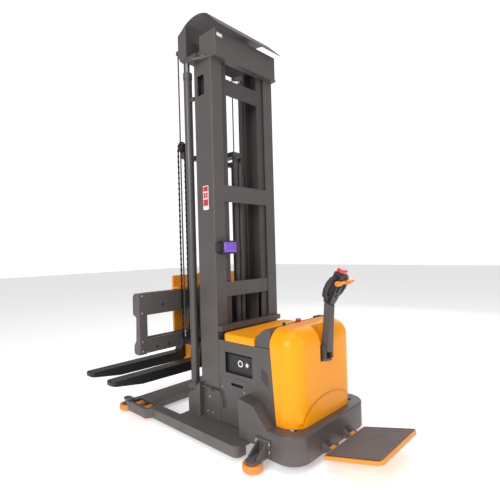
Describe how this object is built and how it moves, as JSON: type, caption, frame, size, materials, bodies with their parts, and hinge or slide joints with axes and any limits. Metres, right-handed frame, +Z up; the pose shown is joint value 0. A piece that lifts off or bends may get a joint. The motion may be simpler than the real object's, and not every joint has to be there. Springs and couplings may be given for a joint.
{
  "type": "three-way stacker truck",
  "caption": "Narrow-aisle stacker with tiller, fold-down platform, two-stage mast, traverse frame and swinging side-facing forks.",
  "frame": {"origin": "on the floor under the middle of the truck's box", "axes": "+Z up, +Y from the tiller towards the mast and forks, +X the truck's right"},
  "size_m": [1.806, 2.6157, 3.6332],
  "materials": {
    "grey_paint": "warm dark grey satin paint",
    "yellow_shell": "glossy amber moulding",
    "yellow_paint": "amber paint",
    "grey_trim": "grey texture paint",
    "dark_plastic": "black grained plastic",
    "red_plastic": "red gloss",
    "orange_plastic": "orange gloss",
    "chrome_rod": "hard chrome",
    "fork_steel": "black forged fork paint",
    "chain_steel": "oiled chain",
    "black_rubber": "black rubber",
    "orange_pu": "orange polyurethane"
  },
  "bodies": {
    "chassis": {"leg_left": "grey_paint", "leg_right": "grey_paint", "base_plate": "grey_paint", "front_crossbeam": "grey_paint", "drive_frame": "grey_paint", "rear_skirt": "grey_paint", "side_panel_left": "grey_paint", "side_panel_right": "grey_paint", "battery": "dark_plastic", "pump_unit": "grey_paint", "rear_hood": "yellow_shell", "instrument_strip": "grey_trim", "guide_roller_brackets": "grey_paint", "platform_hinge": "grey_paint", "mast_uprights": "grey_paint", "mast_top_beam": "grey_paint", "mast_crossbeams": "grey_paint", "lift_cylinders": "grey_paint", "mast_display": "dark_plastic"},
    "battery_lid": {"battery_lid": "yellow_shell"},
    "stop_button": {"stop_button": "red_plastic"},
    "key": {"key": "dark_plastic"},
    "drive_unit": {"gearbox": "grey_paint", "drive_motor": "grey_paint"},
    "drive_wheel": {"drive_wheel": "black_rubber"},
    "platform": {"platform_deck": "yellow_paint", "platform_mat": "black_rubber"},
    "tiller_bracket": {"tiller_bracket": "grey_trim"},
    "tiller_arm": {"tiller_arm": "grey_trim", "tiller_head": "dark_plastic"},
    "reverse_button": {"reverse_button": "red_plastic"},
    "speed_rocker": {"speed_rocker": "orange_plastic"},
    "lift_rocker": {"lift_rocker": "dark_plastic"},
    "horn_button": {"horn_button": "dark_plastic"},
    "inner_mast": {"inner_mast_frame": "grey_paint", "inner_top_cover": "grey_paint", "lift_rods": "chrome_rod", "free_lift_cylinder": "grey_paint", "mast_hoses": "black_rubber"},
    "hose_sheaves": {"hose_sheaves": "black_rubber"},
    "crosshead": {"crosshead": "grey_paint", "lift_chains": "chain_steel"},
    "chain_pulleys": {"chain_pulleys": "chain_steel"},
    "mast_carriage": {"mast_carriage": "grey_paint", "traverse_frame": "grey_paint"},
    "head_slide": {"head_slide": "yellow_paint"},
    "swing_head": {"swing_head": "yellow_paint"},
    "fork_near": {"fork_near": "fork_steel"},
    "fork_far": {"fork_far": "fork_steel"},
    "guide_roller_front_left": {"guide_roller_front_left": "orange_pu"},
    "guide_roller_front_right": {"guide_roller_front_right": "orange_pu"},
    "guide_roller_rear_left": {"guide_roller_rear_left": "orange_pu"},
    "guide_roller_rear_right": {"guide_roller_rear_right": "orange_pu"},
    "load_wheel_left_front": {"load_wheel_left_front": "orange_pu"},
    "load_wheel_left_rear": {"load_wheel_left_rear": "orange_pu"},
    "load_wheel_right_front": {"load_wheel_right_front": "orange_pu"},
    "load_wheel_right_rear": {"load_wheel_right_rear": "orange_pu"}
  },
  "joints": [
    {"name": "guide_roller_front_left_spin", "type": "hinge", "parent": "chassis", "child": "guide_roller_front_left", "pos_m": [-0.543, 1.18369, 0.048], "axis": [0, 0, 1], "continuous": true},
    {"name": "guide_roller_rear_left_spin", "type": "hinge", "parent": "chassis", "child": "guide_roller_rear_left", "pos_m": [-0.533, -0.50631, 0.048], "axis": [0, 0, 1], "continuous": true},
    {"name": "load_wheel_left_rear_spin", "type": "hinge", "parent": "chassis", "child": "load_wheel_left_rear", "pos_m": [-0.508, 0.86869, 0.058], "axis": [1, 0, 0], "continuous": true},
    {"name": "load_wheel_left_front_spin", "type": "hinge", "parent": "chassis", "child": "load_wheel_left_front", "pos_m": [-0.508, 1.01869, 0.058], "axis": [1, 0, 0], "continuous": true},
    {"name": "guide_roller_front_right_spin", "type": "hinge", "parent": "chassis", "child": "guide_roller_front_right", "pos_m": [0.737, 1.18369, 0.048], "axis": [0, 0, 1], "continuous": true},
    {"name": "guide_roller_rear_right_spin", "type": "hinge", "parent": "chassis", "child": "guide_roller_rear_right", "pos_m": [0.727, -0.50631, 0.048], "axis": [0, 0, 1], "continuous": true},
    {"name": "load_wheel_right_rear_spin", "type": "hinge", "parent": "chassis", "child": "load_wheel_right_rear", "pos_m": [0.702, 0.86869, 0.058], "axis": [1, 0, 0], "continuous": true},
    {"name": "load_wheel_right_front_spin", "type": "hinge", "parent": "chassis", "child": "load_wheel_right_front", "pos_m": [0.702, 1.01869, 0.058], "axis": [1, 0, 0], "continuous": true},
    {"name": "tiller_steer", "type": "hinge", "parent": "chassis", "child": "tiller_bracket", "pos_m": [0.097, -0.71131, 0.7], "axis": [0, 0, 1], "range_deg": [-50, 50]},
    {"name": "drive_steer", "type": "hinge", "parent": "chassis", "child": "drive_unit", "pos_m": [0.097, -0.51631, 0.3], "axis": [0, 0, 1], "range_deg": [-50, 50]},
    {"name": "drive_wheel_spin", "type": "hinge", "parent": "drive_unit", "child": "drive_wheel", "pos_m": [0.097, -0.51631, 0.115], "axis": [1, 0, 0], "continuous": true},
    {"name": "tiller_tilt", "type": "hinge", "parent": "tiller_bracket", "child": "tiller_arm", "pos_m": [0.097, -0.73131, 0.79], "axis": [1, 0, 0], "range_deg": [0, 70], "stiffness_Nm_per_rad": 25, "springref_deg": -68.75},
    {"name": "reverse_button_push", "type": "slide", "parent": "tiller_arm", "child": "reverse_button", "axis": [0, 0.454, -0.891], "range_m": [0, 0.006], "stiffness_N_per_m": 900, "springref_m": -0.004},
    {"name": "speed_rocker_turn", "type": "hinge", "parent": "tiller_arm", "child": "speed_rocker", "pos_m": [0.097, -0.88608, 1.29116], "axis": [1, 0, 0], "range_deg": [-20, 20], "stiffness_Nm_per_rad": 1.2},
    {"name": "lift_rocker_turn", "type": "hinge", "parent": "tiller_arm", "child": "lift_rocker", "pos_m": [0.097, -0.84812, 1.23868], "axis": [1, 0, 0], "range_deg": [-5, 5], "stiffness_Nm_per_rad": 0.8},
    {"name": "horn_push", "type": "slide", "parent": "tiller_arm", "child": "horn_button", "axis": [0, 0.891, 0.454], "range_m": [0, 0.003], "stiffness_N_per_m": 500, "springref_m": -0.003},
    {"name": "stop_push", "type": "slide", "parent": "chassis", "child": "stop_button", "axis": [0, 0, -1], "range_m": [0, 0.005], "stiffness_N_per_m": 700, "springref_m": -0.005},
    {"name": "key_turn", "type": "hinge", "parent": "chassis", "child": "key", "pos_m": [-0.093, -0.46831, 0.95], "axis": [0, 0, 1], "range_deg": [-90, 0]},
    {"name": "battery_lid_hinge", "type": "hinge", "parent": "chassis", "child": "battery_lid", "pos_m": [0.097, -0.34031, 0.872], "axis": [1, 0, 0], "range_deg": [0, 75]},
    {"name": "platform_fold", "type": "hinge", "parent": "chassis", "child": "platform", "pos_m": [0.097, -0.84831, 0.096], "axis": [-1, 0, 0], "range_deg": [-14, 74]},
    {"name": "mast_lift", "type": "slide", "parent": "chassis", "child": "inner_mast", "axis": [0, 0, 1], "range_m": [0, 2.7]},
    {"name": "hose_sheave_spin", "type": "hinge", "parent": "inner_mast", "child": "hose_sheaves", "pos_m": [0.097, 0.54569, 3.4], "axis": [1, 0, 0], "continuous": true},
    {"name": "free_lift", "type": "slide", "parent": "inner_mast", "child": "crosshead", "axis": [0, 0, 1], "range_m": [0, 0.7], "deforming": ["lift_chains"]},
    {"name": "chain_pulley_spin", "type": "hinge", "parent": "crosshead", "child": "chain_pulleys", "pos_m": [0.097, 0.54869, 2.53], "axis": [1, 0, 0], "range_deg": [0, 1000]},
    {"name": "carriage_lift", "type": "slide", "parent": "crosshead", "child": "mast_carriage", "axis": [0, 0, 1], "range_m": [0, 0.7]},
    {"name": "head_traverse", "type": "slide", "parent": "mast_carriage", "child": "head_slide", "axis": [1, 0, 0], "range_m": [-0.365, 0.185]},
    {"name": "head_swing", "type": "hinge", "parent": "head_slide", "child": "swing_head", "pos_m": [0.347, 1.04569, 0.7], "axis": [0, 0, 1], "range_deg": [-180, 0]},
    {"name": "fork_near_spread", "type": "slide", "parent": "swing_head", "child": "fork_near", "axis": [0, 1, 0], "range_m": [0, 0.12]},
    {"name": "fork_far_spread", "type": "slide", "parent": "swing_head", "child": "fork_far", "axis": [0, 1, 0], "range_m": [-0.12, 0]}
  ],
  "couplings": [
    {"joint": "drive_steer", "follows": "tiller_steer", "ratio": 1},
    {"joint": "carriage_lift", "follows": "free_lift", "ratio": 1},
    {"joint": "chain_pulley_spin", "follows": "free_lift", "rad_per_m": 24}
  ]
}
